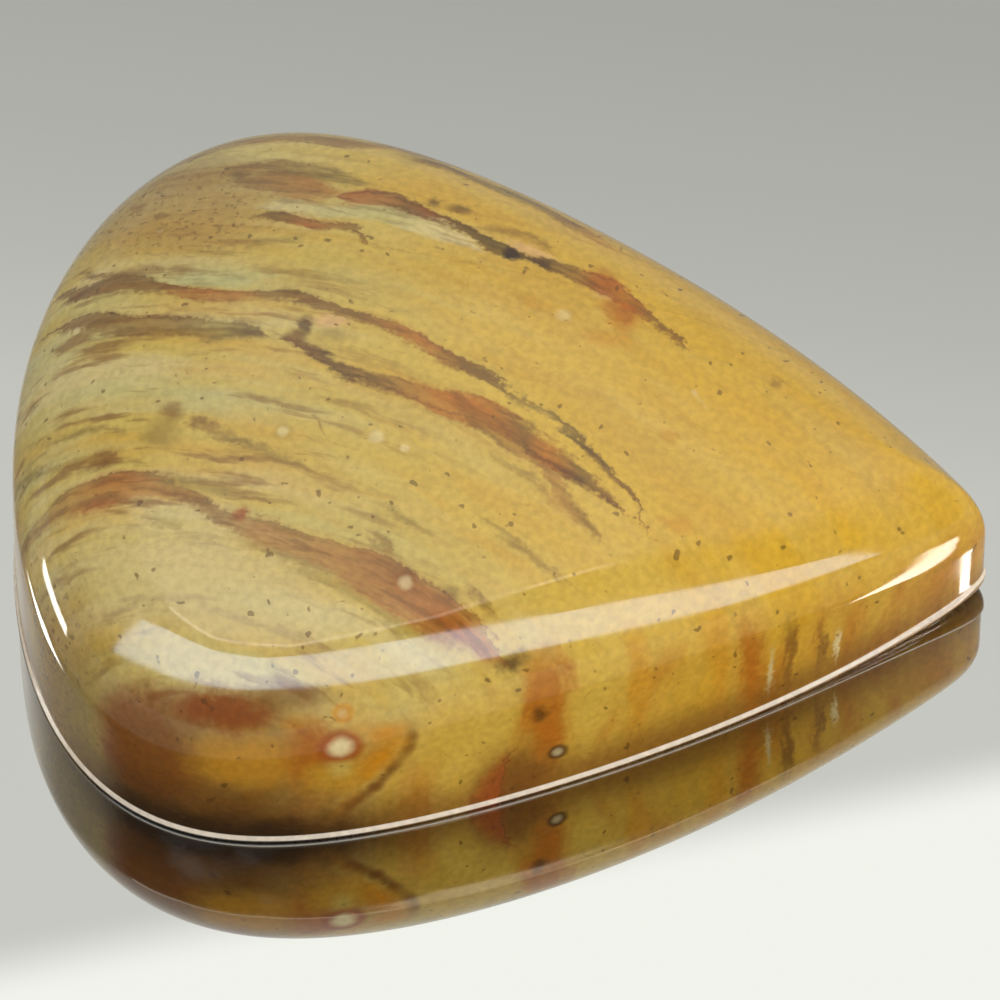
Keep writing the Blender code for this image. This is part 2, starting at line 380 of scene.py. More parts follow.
# Noise masks. A shift keeps one apart from the others.
grains = {
    "fray": {"Size": .5, "Detail": 4.0, "Threshold": .5, "Spread": .3},
    "tatter": {"Size": .24, "Detail": 2.0, "Threshold": .5, "Spread": .3},
    "cream": {"Size": 1.9, "Detail": 3.0, "Threshold": .55, "Spread": .13},
    "honey": {"Size": 1.5, "Detail": 4.0, "Threshold": .55, "Spread": .14, "shift": (7.0, 3.0, 1.0)},
    "sage": {"Size": 2.4, "Detail": 2.0, "Threshold": .55, "Spread": .1, "shift": (2.0, 9.0, 4.0)},
    "strands": {"Size": .55, "Detail": 4.0, "Threshold": .61, "Spread": .09, "shift": (4.0, 1.0, 8.0)},
    "wallStreaks": {"Size": 1.7, "Detail": 4.0, "Threshold": .54, "Spread": .1, "shift": (1.0, 5.0, 3.0)},
    "pepper": {"Size": .3, "Detail": 1.0, "Threshold": .63, "Spread": .05},
    "patchy": {"Size": .8, "Detail": 4.0, "Threshold": .47, "Spread": .2},
    "veinStrands": {"Size": .3, "Detail": 3.0, "Threshold": .54, "Spread": .1, "shift": (3.0, 2.0, 6.0)},
    "specks": {"Size": .42, "Detail": .5, "Threshold": .76, "Spread": .03},
    "speckle": {"Size": .32, "Detail": 3.0, "Threshold": .5, "Spread": .28},
    "haze": {"Size": 3.0, "Detail": 3.0, "Threshold": .55, "Spread": .15},
}

# Where each colour of the ground starts and ends, in millimetres, and how strongly it is laid
ground = {
    "tipwardPerY": 0.45,            # the far side counts as nearer the tip
    "straw": (-12.0, 4.0),
    "mustard": (-3.0, 12.0),
    "streaks": (-14.0, 1.0),
    "streaksFade": .85,
    "wall": (1.6, 4.2),             # depth under the crown
    "lowDownShade": (3.2, 0.4),          # height above the back over which painted shade darkens the foot of the wall
    "strengths": {"cream": .75, "honey": .5, "sage": .6, "strands": .7, "wall": .6, "wallStreaks": .55,
                  "lowDownShade": .7},
}

curveReach = {"x": 22.0, "length": 20.0}

veinFinish = {
    "widen": 1.2,
    "closed": -0.15,                # half width at both ends, which closes them
    "feather": 0.38,
    "patchy": (.35, .65),           # how far the grain thins a vein, and what is left of it
    "strands": .45,
    "lineHalfWidth": 0.035,
    "lineFeather": .07,
    "lineStrength": .6,
}

blotFinish = {
    "raggedFrom": 0.6,              # smaller patches than this keep a plainer edge
    "ringSize": 1.8,
    "ringSoftness": .3,
    "dotSoftness": .5,
}

finish = {
    "roughness": 0.05,
    "hazeRoughness": 0.12,
    "backRoughness": 0.3,
    "backHeight": (0.25, 0.05),
    "indexOfRefraction": 1.54,
    "specks": .6,
    # strength of the painted highlight laid pale on the bevel
    "bevel": .85,
    "speckle": (.22, .89),
}


def paint(name):
    # A paint's linear colour, from its display colour.
    code = paints[name].lstrip("#")
    channels = [int(code[i:i + 2], 16) / 255 for i in (0, 2, 4)]
    return tuple(c / 12.92 if c <= 0.04045 else ((c + 0.055) / 1.055) ** 2.4 for c in channels) + (1.0,)


def feed(tree, socket, value):
    # Links a socket to another, or sets it to a plain value.
    if isinstance(value, bpy.types.NodeSocket):
        tree.links.new(value, socket)
    else:
        socket.default_value = value


def calc(tree, operation, *values):
    node = tree.nodes.new("ShaderNodeMath")
    node.operation = operation
    for socket, value in zip(node.inputs, values):
        feed(tree, socket, value)
    return node.outputs[0]


def times(tree, one, other):
    return calc(tree, "MULTIPLY", one, other)


def plus(tree, one, other):
    return calc(tree, "ADD", one, other)


def minus(tree, one, other):
    return calc(tree, "SUBTRACT", one, other)


def divide(tree, one, other):
    return calc(tree, "DIVIDE", one, other)


def vectorCalc(tree, operation, *values):
    node = tree.nodes.new("ShaderNodeVectorMath")
    node.operation = operation
    for socket, value in zip(node.inputs, values):
        feed(tree, socket, value)
    return node.outputs["Value" if operation in ("LENGTH", "DISTANCE", "DOT_PRODUCT") else "Vector"]


def scaled(tree, vector, factor):
    node = tree.nodes.new("ShaderNodeVectorMath")
    node.operation = "SCALE"
    feed(tree, node.inputs[0], vector)
    feed(tree, node.inputs["Scale"], factor)
    return node.outputs[0]


def rangeShare(tree, value, start, end, smooth=True):
    # 0 at start and 1 at end.
    node = tree.nodes.new("ShaderNodeMapRange")
    node.interpolation_type = "SMOOTHSTEP" if smooth else "LINEAR"
    feed(tree, node.inputs["Value"], value)
    feed(tree, node.inputs["From Min"], start)
    feed(tree, node.inputs["From Max"], end)
    return node.outputs["Result"]


def joinXyz(tree, x, y, z):
    node = tree.nodes.new("ShaderNodeCombineXYZ")
    for socket, value in zip(node.inputs, (x, y, z)):
        feed(tree, socket, value)
    return node.outputs[0]


def splitXyz(tree, vector):
    node = tree.nodes.new("ShaderNodeSeparateXYZ")
    feed(tree, node.inputs[0], vector)
    return node.outputs


# The stone's shape, as one Geometry Nodes tree

def outlineNodes(tree, sizes, angle):
    # A point of the widest outline, at an angle counted from the tip.
    along = calc(tree, "COSINE", angle)
    across = calc(tree, "SINE", angle)
    width = minus(tree, 1.0, times(tree, sizes["taper"], along))
    for turns, name in ((2, "endFullness"), (3, "flankFullness"), (4, "cornerFullness")):
        wave = calc(tree, "COSINE", times(tree, angle, float(turns)))
        width = minus(tree, width, times(tree, sizes[name], wave))
    towardTip = calc(tree, "MULTIPLY_ADD", along, 0.5, 0.5)
    tip = times(tree, sizes["tipFullness"], calc(tree, "POWER", towardTip, sizes["tipFalloff"]))
    width = plus(tree, width, tip)
    bulge = minus(tree, sizes["frontBulge"], times(tree, sizes["bulgeTowardEnd"], along))
    side = times(tree, times(tree, sizes["halfWidth"], across), width)
    y = minus(tree, side, times(tree, bulge, times(tree, across, across)))
    return times(tree, sizes["halfLength"], along), y


def reachNodes(tree, sizes, angle):
    # The distance from the stone's axis to the outline, square to the outline's own direction.
    x1, y1 = outlineNodes(tree, sizes, minus(tree, angle, reachStep))
    x2, y2 = outlineNodes(tree, sizes, plus(tree, angle, reachStep))
    area = minus(tree, times(tree, x1, y2), times(tree, x2, y1))
    chord = vectorCalc(tree, "DISTANCE", joinXyz(tree, x1, y1, 0.0), joinXyz(tree, x2, y2, 0.0))
    return divide(tree, area, chord)


def crownNodes(tree, sizes, x, y):
    # The crown over a point, before its shoulder is rounded off.
    tipRun = minus(tree, sizes["halfLength"], sizes["crownX"])
    endRun = plus(tree, sizes["halfLength"], sizes["crownX"])
    toTip = calc(tree, "MAXIMUM", 0.0, divide(tree, minus(tree, x, sizes["crownX"]), tipRun))
    toEnd = calc(tree, "MAXIMUM", 0.0, divide(tree, minus(tree, sizes["crownX"], x), endRun))
    squared = times(tree, toTip, toTip)
    tipShape = times(tree, squared, minus(tree, 2.0, toTip))
    acrossShare = divide(tree, y, sizes["sideReach"])
    z = minus(tree, sizes["crownHeight"], times(tree, sizes["tipFall"], tipShape))
    z = minus(tree, z, times(tree, sizes["endFall"], times(tree, toEnd, toEnd)))
    sideShape = times(tree, acrossShare, acrossShare)
    return minus(tree, z, times(tree, sizes["sideFall"], sideShape))


def shoulderNodes(tree, sizes, inset):
    # How far the rounded shoulder lies under the crown, at a distance in from the edge.
    left = minus(tree, 1.0, calc(tree, "MINIMUM", 1.0, divide(tree, inset, sizes["shoulderWidth"])))
    rise = calc(tree, "SQRT", minus(tree, 1.0, times(tree, left, left)))
    return times(tree, sizes["shoulderDrop"], minus(tree, 1.0, rise))


def makeStoneTree():
    tree = bpy.data.node_groups.new("stoneShape", "GeometryNodeTree")
    face = tree.interface
    for name in ("segments", "rings"):
        face.new_socket(name, in_out="INPUT", socket_type="NodeSocketInt")
    numbers = [name for name in stone if name not in ("segments", "rings")]
    for name in numbers:
        face.new_socket(name, in_out="INPUT", socket_type="NodeSocketFloat")
    face.new_socket("material", in_out="INPUT", socket_type="NodeSocketMaterial")
    face.new_socket("Geometry", in_out="OUTPUT", socket_type="NodeSocketGeometry")
    given = tree.nodes.new("NodeGroupInput")
    sizes = {name: given.outputs[name] for name in numbers}

    ball = tree.nodes.new("GeometryNodeMeshUVSphere")
    feed(tree, ball.inputs["Segments"], given.outputs["segments"])
    feed(tree, ball.inputs["Rings"], given.outputs["rings"])
    apart = splitXyz(tree, tree.nodes.new("GeometryNodeInputPosition").outputs[0])
    angle = calc(tree, "ARCTAN2", apart[1], apart[0])
    level = minus(tree, 1.0, divide(tree, calc(tree, "ARCCOSINE", apart[2]), math.pi))
    backPart = rangeShare(tree, level, 0.0, ringShares["back"], smooth=False)
    edgePart = rangeShare(tree, level, ringShares["back"], ringShares["edge"], smooth=False)
    lipPart = rangeShare(tree, level, ringShares["edge"], ringShares["lip"], smooth=False)
    wallPart = rangeShare(tree, level, ringShares["lip"], ringShares["wall"], smooth=False)
    domePart = rangeShare(tree, level, ringShares["wall"], 1.0, smooth=False)
    turn = times(tree, edgePart, math.pi / 2)
    drawnIn = calc(tree, "POWER", domePart, ringShares["domeSpacing"])
    outlineX, outlineY = outlineNodes(tree, sizes, angle)
    reach = reachNodes(tree, sizes, angle)
    atTip = calc(tree, "POWER", calc(tree, "MULTIPLY_ADD", calc(tree, "COSINE", angle), 0.5, 0.5),
                 sizes["tipRoundFocus"])
    edge = calc(tree, "MULTIPLY_ADD", sizes["tipRound"], atTip, sizes["edgeRadius"])
    lipTop = calc(tree, "MULTIPLY_ADD", sizes["tipRound"], atTip, sizes["lipTop"])
    pulled = times(tree, divide(tree, edge, reach), minus(tree, 1.0, calc(tree, "SINE", turn)))
    share = times(tree, backPart, minus(tree, 1.0, pulled))
    share = times(tree, share, minus(tree, 1.0, drawnIn))
    setBack = times(tree, rangeShare(tree, lipPart, 0.0, 1.0), divide(tree, sizes["lipDepth"], reach))
    share = times(tree, share, minus(tree, 1.0, setBack))
    guessX = times(tree, outlineX, share)
    guessY = times(tree, outlineY, share)
    wallTop = minus(tree, crownNodes(tree, sizes, guessX, guessY), sizes["shoulderDrop"])
    over = calc(tree, "MAXIMUM", 0.0, minus(tree, times(tree, wallPart, wallTop), sizes["leanFrom"]))
    lean = times(tree, times(tree, over, over), divide(tree, sizes["leanRate"], reach))
    share = times(tree, share, minus(tree, 1.0, lean))
    x = times(tree, outlineX, share)
    y = times(tree, outlineY, share)
    crown = crownNodes(tree, sizes, x, y)
    topZ = minus(tree, crown, shoulderNodes(tree, sizes, times(tree, drawnIn, reach)))
    edgeZ = times(tree, edge, minus(tree, 1.0, calc(tree, "COSINE", turn)))
    lipRise = times(tree, lipPart, minus(tree, lipTop, edge))
    rise = times(tree, wallPart, minus(tree, topZ, lipTop))
    trueZ = plus(tree, edgeZ, plus(tree, lipRise, rise))

    wave = tree.nodes.new("ShaderNodeTexNoise")
    feed(tree, wave.inputs["Vector"], joinXyz(tree, x, y, trueZ))
    feed(tree, wave.inputs["Scale"], divide(tree, 1.0, sizes["polishWaveSize"]))
    wander = times(tree, minus(tree, wave.outputs["Fac"], 0.5), sizes["polishWave"])
    z = plus(tree, trueZ, times(tree, wander, times(tree, domePart, sizes["waveOverCrown"])))

    place = tree.nodes.new("GeometryNodeSetPosition")
    feed(tree, place.inputs["Position"], scaled(tree, joinXyz(tree, x, y, z), mm))
    # kept for the material: how far a point lies under the crown, and where the bevel is
    bevelStart = rangeShare(tree, lipPart, 0.0, bevelFade)
    bevelEnd = rangeShare(tree, lipPart, 1.0, 1.0 - bevelFade)
    bevel = times(tree, bevelStart, bevelEnd)
    capture = tree.nodes.new("GeometryNodeCaptureAttribute")
    feed(tree, capture.inputs["Geometry"], ball.outputs["Mesh"])
    feed(tree, place.inputs["Geometry"], capture.outputs["Geometry"])
    shaped = place.outputs["Geometry"]
    for number, (name, value) in enumerate((("depth", minus(tree, crown, trueZ)), ("bevel", bevel)), 1):
        capture.capture_items.new("FLOAT", name)
        feed(tree, capture.inputs[number], value)
        store = tree.nodes.new("GeometryNodeStoreNamedAttribute")
        store.data_type = "FLOAT"
        store.domain = "POINT"
        store.inputs["Name"].default_value = name
        feed(tree, store.inputs["Geometry"], shaped)
        feed(tree, store.inputs["Value"], capture.outputs[number])
        shaped = store.outputs["Geometry"]

    box = tree.nodes.new("GeometryNodeBoundBox")
    feed(tree, box.inputs[0], shaped)
    ends = vectorCalc(tree, "ADD", box.outputs["Min"], box.outputs["Max"])
    middle = vectorCalc(tree, "MULTIPLY", ends, (0, -0.5, 0))
    centred = tree.nodes.new("GeometryNodeSetPosition")
    feed(tree, centred.inputs["Geometry"], shaped)
    feed(tree, centred.inputs["Offset"], middle)
    smooth = tree.nodes.new("GeometryNodeSetShadeSmooth")
    feed(tree, smooth.inputs["Geometry"], centred.outputs["Geometry"])
    real = tree.nodes.new("GeometryNodeRealizeInstances")
    feed(tree, real.inputs["Geometry"], smooth.outputs["Geometry"])
    finished = tree.nodes.new("GeometryNodeSetMaterial")
    feed(tree, finished.inputs["Geometry"], real.outputs["Geometry"])
    feed(tree, finished.inputs["Material"], given.outputs["material"])
    feed(tree, tree.nodes.new("NodeGroupOutput").inputs[0], finished.outputs[0])
    return tree


def makeStone(material):
    tree = makeStoneTree()
    carrier = bpy.data.objects.new("stoneCarrier", bpy.data.meshes.new("stoneCarrier"))
    bpy.context.scene.collection.objects.link(carrier)
    modifier = carrier.modifiers.new("shape", "NODES")
    modifier.node_group = tree
    sockets = {item.name: item.identifier for item in tree.interface.items_tree if item.in_out == "INPUT"}
    for name, value in stone.items():
        modifier[sockets[name]] = value
    modifier[sockets["material"]] = material
    graph = bpy.context.evaluated_depsgraph_get()
    shaped = carrier.evaluated_get(graph)
    mesh = bpy.data.meshes.new_from_object(shaped, preserve_all_data_layers=True, depsgraph=graph)
    bpy.data.objects.remove(carrier)
    mesh.name = "polishedStone"
    piece = bpy.data.objects.new("polishedStone", mesh)
    bpy.context.scene.collection.objects.link(piece)
    print("stone:", len(mesh.polygons), "faces")
    return piece


# Node groups that the stone's pattern is laid with

def newGroup(name, inputs, outputs):
    group = bpy.data.node_groups.new(name, "ShaderNodeTree")
    for label, kind, value in inputs:
        socket = group.interface.new_socket(label, in_out="INPUT", socket_type="NodeSocket" + kind)
        if value is not None:
            socket.default_value = value
    for label, kind in outputs:
        group.interface.new_socket(label, in_out="OUTPUT", socket_type="NodeSocket" + kind)
    return group, group.nodes.new("NodeGroupInput").outputs, group.nodes.new("NodeGroupOutput").inputs


def makeVeinGroup():
    # A band with feathered edges, from the distance to its middle line. A half width below zero closes it.
    inputs = [("Across", "Float", None), ("Half Width", "Float", .2), ("Feather", "Float", .12)]
    group, given, out = newGroup("veinMask", inputs, [("Mask", "Float")])
    inside = minus(group, given["Half Width"], calc(group, "ABSOLUTE", given["Across"]))
    outer = times(group, given["Feather"], -1.0)
    feed(group, out["Mask"], rangeShare(group, inside, outer, given["Feather"]))
    return group


def makePatchGroup():
    # A soft ellipsoid, from its three axes, each divided by its own radius.
    inputs = [("Vector", "Vector", None), ("Centre", "Vector", None), ("Along", "Vector", (1, 0, 0)),
              ("Across", "Vector", (0, 1, 0)), ("Up", "Vector", (0, 0, 1)), ("Softness", "Float", .5)]
    group, given, out = newGroup("patchMask", inputs, [("Mask", "Float")])
    away = vectorCalc(group, "SUBTRACT", given["Vector"], given["Centre"])
    parts = [vectorCalc(group, "DOT_PRODUCT", away, given[axis]) for axis in ("Along", "Across", "Up")]
    size = vectorCalc(group, "LENGTH", joinXyz(group, *parts))
    inner = minus(group, 1.0, given["Softness"])
    outer = plus(group, 1.0, given["Softness"])
    feed(group, out["Mask"], minus(group, 1.0, rangeShare(group, size, inner, outer)))
    return group


def makeCrackGroup():
    # A soft line from one point to another.
    inputs = [("Vector", "Vector", None), ("Start", "Vector", None), ("End", "Vector", None),
              ("Half Width", "Float", .1)]
    group, given, out = newGroup("crackMask", inputs, [("Mask", "Float")])
    line = vectorCalc(group, "SUBTRACT", given["End"], given["Start"])
    away = vectorCalc(group, "SUBTRACT", given["Vector"], given["Start"])
    passed = vectorCalc(group, "DOT_PRODUCT", away, line)
    share = divide(group, passed, vectorCalc(group, "DOT_PRODUCT", line, line))
    share = calc(group, "MINIMUM", 1.0, calc(group, "MAXIMUM", 0.0, share))
    offset = vectorCalc(group, "DISTANCE", away, scaled(group, line, share))
    feed(group, out["Mask"], minus(group, 1.0, rangeShare(group, offset, 0.0, given["Half Width"])))
    return group


def makeWanderGroup():
    # How far noise pushes a point about, so that edges wander.
    inputs = [("Vector", "Vector", None), ("Size", "Float", 1.0), ("Amount", "Float", .1)]
    group, given, out = newGroup("wander", inputs, [("Push", "Vector")])
    noise = group.nodes.new("ShaderNodeTexNoise")
    noise.inputs["Detail"].default_value = 2.0
    feed(group, noise.inputs["Vector"], given["Vector"])
    feed(group, noise.inputs["Scale"], divide(group, 1.0, given["Size"]))
    push = vectorCalc(group, "SUBTRACT", noise.outputs["Color"], (0.5, 0.5, 0.5))
    feed(group, out["Push"], scaled(group, push, times(group, given["Amount"], 2.0)))
    return group


def makeGrainGroup():
    # A noise mask that is 0 under the threshold and 1 well over it.
    inputs = [("Vector", "Vector", None), ("Size", "Float", 1.0), ("Detail", "Float", 3.0),
              ("Threshold", "Float", .5), ("Spread", "Float", .1)]
    group, given, out = newGroup("grain", inputs, [("Mask", "Float")])
    noise = group.nodes.new("ShaderNodeTexNoise")
    feed(group, noise.inputs["Vector"], given["Vector"])
    feed(group, noise.inputs["Scale"], divide(group, 1.0, given["Size"]))
    feed(group, noise.inputs["Detail"], given["Detail"])
    lower = minus(group, given["Threshold"], given["Spread"])
    upper = plus(group, given["Threshold"], given["Spread"])
    feed(group, out["Mask"], rangeShare(group, noise.outputs["Fac"], lower, upper))
    return group


def useGroup(tree, group, **values):
    node = tree.nodes.new("ShaderNodeGroup")
    node.node_tree = group
    for label, value in values.items():
        feed(tree, node.inputs[label.replace("_", " ")], value)
    return node.outputs[0]


def patchMask(tree, group, vector, centre, radii, turn, softness):
    # A patch's mask, turned about z by an angle in degrees.
    swing = math.radians(turn)
    wide, deep, tall = radii
    return useGroup(tree, group, Vector=vector, Centre=centre, Softness=softness, Up=(0, 0, 1 / tall),
                    Along=(math.cos(swing) / wide, math.sin(swing) / wide, 0),
                    Across=(-math.sin(swing) / deep, math.cos(swing) / deep, 0))


def lay(tree, under, over, mask, strength=1.0):
    # Lays one colour over another through a mask.
    node = tree.nodes.new("ShaderNodeMix")
    node.data_type = "RGBA"
    feed(tree, node.inputs["Factor"], mask if strength == 1.0 else times(tree, mask, strength))
    feed(tree, node.inputs[6], under)
    feed(tree, node.inputs[7], over)
    return node.outputs[2]


def routeCurve(tree, x, points):
    # A smooth curve through given points, from x to a length.
    node = tree.nodes.new("ShaderNodeFloatCurve")
    mapping = node.mapping
    mapping.clip_min_x, mapping.clip_max_x = -curveReach["x"], curveReach["x"]
    mapping.clip_min_y, mapping.clip_max_y = -curveReach["length"], curveReach["length"]
    mapping.extend = "HORIZONTAL"
    curve = mapping.curves[0]
    curve.points[0].location = points[0]
    curve.points[1].location = points[-1]
    for point in points[1:-1]:
        curve.points.new(*point)
    for point in curve.points:
        point.handle_type = "AUTO_CLAMPED"
    mapping.update()
    feed(tree, node.inputs["Value"], x)
    return node.outputs[0]


def toneRamp(tree, x, tones):
    # Paints along a vein, by x.
    if len(tones) == 1:
        return paint(tones[0][1])
    node = tree.nodes.new("ShaderNodeValToRGB")
    ramp = node.color_ramp
    start, end = tones[0][0], tones[-1][0]
    ramp.elements[0].position, ramp.elements[0].color = 0.0, paint(tones[0][1])
    ramp.elements[1].position, ramp.elements[1].color = 1.0, paint(tones[-1][1])
    for at, name in tones[1:-1]:
        ramp.elements.new((at - start) / (end - start)).color = paint(name)
    feed(tree, node.inputs[0], rangeShare(tree, x, float(start), float(end), smooth=False))
    return node.outputs[0]


def storedValue(tree, name):
    node = tree.nodes.new("ShaderNodeAttribute")
    node.attribute_name = name
    return node.outputs["Fac"]


def grainMask(tree, groups, vector, name):
    grain = dict(grains[name])
    shift = grain.pop("shift", None)
    if shift:
        vector = vectorCalc(tree, "ADD", vector, shift)
    return useGroup(tree, groups["grain"], Vector=vector, **grain)


def wandered(tree, groups, vector, name):
    return vectorCalc(tree, "ADD", vector, useGroup(tree, groups["wander"], Vector=vector, **wanders[name]))


def stonePlaces(tree, groups):
    # Where a point lies in the stone, in millimetres: plain, along the beds, and pushed about by noise.
    # Every mask reads a place that has passed the fray, which keeps the shader's working memory small.
    objectCoords = tree.nodes.new("ShaderNodeTexCoord").outputs["Object"]
    inMm = vectorCalc(tree, "MULTIPLY", objectCoords, (1 / mm, 1 / mm, 1 / mm))
    depth = storedValue(tree, "depth")
    buried = calc(tree, "MAXIMUM", 0.0, minus(tree, depth, bedding["dipFrom"]))
    dip = vectorCalc(tree, "MULTIPLY", joinXyz(tree, buried, buried, 0.0), bedding["dip"])
    fine = wandered(tree, groups, wandered(tree, groups, inMm, "broad"), "fine")
    raggedPush = useGroup(tree, groups["wander"], Vector=inMm, **wanders["ragged"])
    x, y, z = splitXyz(tree, vectorCalc(tree, "ADD", fine, dip))
    slope = plus(tree, times(tree, x, bedding["lean"]), times(tree, times(tree, x, x), bedding["bend"]))
    bed = plus(tree, y, slope)
    lengthwise, upward = bedding["stretch"]
    along = joinXyz(tree, times(tree, x, lengthwise), bed, times(tree, z, upward))
    fray = times(tree, minus(tree, grainMask(tree, groups, along, "fray"), .5), bedding["fray"])
    tatter = times(tree, minus(tree, grainMask(tree, groups, inMm, "tatter"), .5), bedding["tatter"])
    fray = plus(tree, fray, tatter)
    frayPush = joinXyz(tree, fray, fray, fray)
    frayed = vectorCalc(tree, "ADD", fine, frayPush)
    smooth = vectorCalc(tree, "SUBTRACT", frayed, frayPush)
    ragged = vectorCalc(tree, "ADD", frayed, raggedPush)
    x, y, z = splitXyz(tree, vectorCalc(tree, "ADD", frayed, dip))
    return {"inMm": inMm, "depth": depth, "along": along, "frayed": frayed, "smooth": smooth,
            "ragged": ragged, "x": x, "y": y, "z": z}


def layGround(tree, groups, at):
    # Khaki and cream at the broad end, mustard toward the tip, honey and rust on the wall, and umber low on
    # the wall as painted shade at its foot.
    strengths = ground["strengths"]
    tipward = plus(tree, at["x"], times(tree, at["y"], ground["tipwardPerY"]))
    colour = lay(tree, paint("khaki"), paint("straw"), rangeShare(tree, tipward, *ground["straw"]))
    colour = lay(tree, colour, paint("mustard"), rangeShare(tree, tipward, *ground["mustard"]))
    faded = times(tree, rangeShare(tree, tipward, *ground["streaks"]), ground["streaksFade"])
    streaky = minus(tree, 1.0, faded)
    for name, paintName in (("cream", "cream"), ("honey", "honey"), ("sage", "sage"), ("strands", "umber")):
        mask = grainMask(tree, groups, at["along"], name)
        if name != "honey":
            mask = times(tree, mask, streaky)
        colour = lay(tree, colour, paint(paintName), mask, strengths[name])
    onWall = rangeShare(tree, at["depth"], *ground["wall"])
    colour = lay(tree, colour, paint("honey"), onWall, strengths["wall"])
    wallStreaks = grainMask(tree, groups, at["along"], "wallStreaks")
    colour = lay(tree, colour, paint("rust"), times(tree, wallStreaks, onWall), strengths["wallStreaks"])
    # painted shade: umber toward the foot of the wall
    lowDownShade = times(tree, rangeShare(tree, at["z"], *ground["lowDownShade"]), onWall)
    return lay(tree, colour, paint("umber"), lowDownShade, strengths["lowDownShade"])


def layPatches(tree, groups, at, colour):
    pepper = grainMask(tree, groups, at["inMm"], "pepper")
    for patch in patches.values():
        around = at["ragged"] if min(patch["radii"]) > blotFinish["raggedFrom"] else at["frayed"]
        mask = patchMask(tree, groups["patch"], around, patch["centre"], patch["radii"], patch["turn"],
                         patch["softness"])
        colour = lay(tree, colour, paint(patch["paint"]), mask, patch["strength"])
        if "pepper" in patch:
            colour = lay(tree, colour, paint("coffee"), times(tree, mask, pepper), patch["pepper"])
    return colour


def layVeins(tree, groups, at, colour):
    thinned, kept = veinFinish["patchy"]
    patchy = calc(tree, "MULTIPLY_ADD", grainMask(tree, groups, at["along"], "patchy"), thinned, kept)
    cover = 0.0
    for sheet in veins.values():
        middle = routeCurve(tree, at["x"], [(px, py) for px, py, half in sheet["route"]])
        widths = [(px, half * veinFinish["widen"]) for px, py, half in sheet["route"]]
        for end in (0, -1):
            widths[end] = (widths[end][0], veinFinish["closed"])
        width = routeCurve(tree, at["x"], widths)
        across = minus(tree, at["y"], middle)
        mask = useGroup(tree, groups["vein"], Across=across, Half_Width=width,
                        Feather=sheet["softness"] * veinFinish["feather"])
        tones = toneRamp(tree, at["x"], sheet["tones"])
        colour = lay(tree, colour, tones, times(tree, mask, patchy), sheet["strength"])
        cover = calc(tree, "MAXIMUM", cover, times(tree, mask, sheet["strength"]))
        if "lineSide" in sheet:
            offset = minus(tree, across, times(tree, width, sheet["lineSide"]))
            slim = calc(tree, "MINIMUM", width, veinFinish["lineHalfWidth"])
            line = useGroup(tree, groups["vein"], Across=offset, Half_Width=slim,
                            Feather=veinFinish["lineFeather"])
            colour = lay(tree, colour, paint("coffee"), times(tree, line, patchy), veinFinish["lineStrength"])
    strands = grainMask(tree, groups, at["along"], "veinStrands")
    return lay(tree, colour, paint("coffee"), times(tree, cover, strands), veinFinish["strands"])


def layCracks(tree, groups, at, colour):
    for hairline in cracks.values():
        for start, end in zip(hairline["points"], hairline["points"][1:]):
            mask = useGroup(tree, groups["crack"], Vector=at["smooth"], Start=start, End=end,
                            Half_Width=hairline["halfWidth"])
            colour = lay(tree, colour, paint(hairline["paint"]), mask, hairline["strength"])
    return colour


def layOrbs(tree, groups, at, colour):
    for dot in orbs.values():
        outer = (dot["radius"] * blotFinish["ringSize"],) * 3
        ring = patchMask(tree, groups["patch"], at["smooth"], dot["centre"], outer, 0,
                         blotFinish["ringSoftness"])
        colour = lay(tree, colour, paint(dot["ringPaint"]), ring, dot["ring"])
        inner = (dot["radius"],) * 3
        pale = patchMask(tree, groups["patch"], at["smooth"], dot["centre"], inner, 0,
                         blotFinish["dotSoftness"])
        colour = lay(tree, colour, paint("ivory"), pale, dot["strength"])
    return colour


def makeStoneMaterial():
    material = bpy.data.materials.new("polishedMookaite")
    material.use_nodes = True
    tree = material.node_tree
    shader = tree.nodes["Principled BSDF"]
    groups = {"vein": makeVeinGroup(), "patch": makePatchGroup(), "crack": makeCrackGroup(),
              "wander": makeWanderGroup(), "grain": makeGrainGroup()}
    at = stonePlaces(tree, groups)
    colour = layPatches(tree, groups, at, layGround(tree, groups, at))
    colour = layVeins(tree, groups, at, colour)
    colour = layOrbs(tree, groups, at, layCracks(tree, groups, at, colour))
    specks = grainMask(tree, groups, at["smooth"], "specks")
    colour = lay(tree, colour, paint("coffee"), specks, finish["specks"])
    colour = lay(tree, colour, paint("bevelGlint"), storedValue(tree, "bevel"), finish["bevel"])   # painted highlight: the bevel is laid pale for the bright glint along the foot of the stone
    speckle = grainMask(tree, groups, at["inMm"], "speckle")
    shade = tree.nodes.new("ShaderNodeHueSaturation")
    feed(tree, shade.inputs["Color"], colour)
    swing, base = finish["speckle"]
    feed(tree, shade.inputs["Value"], calc(tree, "MULTIPLY_ADD", speckle, swing, base))
    feed(tree, shader.inputs["Base Color"], shade.outputs[0])

    haze = grainMask(tree, groups, at["inMm"], "haze")
    onBack = rangeShare(tree, at["z"], *finish["backHeight"])
    dulled = finish["hazeRoughness"] - finish["roughness"]
    roughness = calc(tree, "MULTIPLY_ADD", haze, dulled, finish["roughness"])
    backRoughness = times(tree, onBack, finish["backRoughness"])
    feed(tree, shader.inputs["Roughness"], calc(tree, "MAXIMUM", roughness, backRoughness))
    shader.inputs["IOR"].default_value = finish["indexOfRefraction"]
    print("material:", len(tree.nodes), "nodes")
    return material


# The table, the surroundings and the softboxes

table = {
    "halfSize": 3000.0,
    "roughness": 0.015,
    "tint": (0.988, 1.0, 0.94),
    "reflects": 0.5,
}

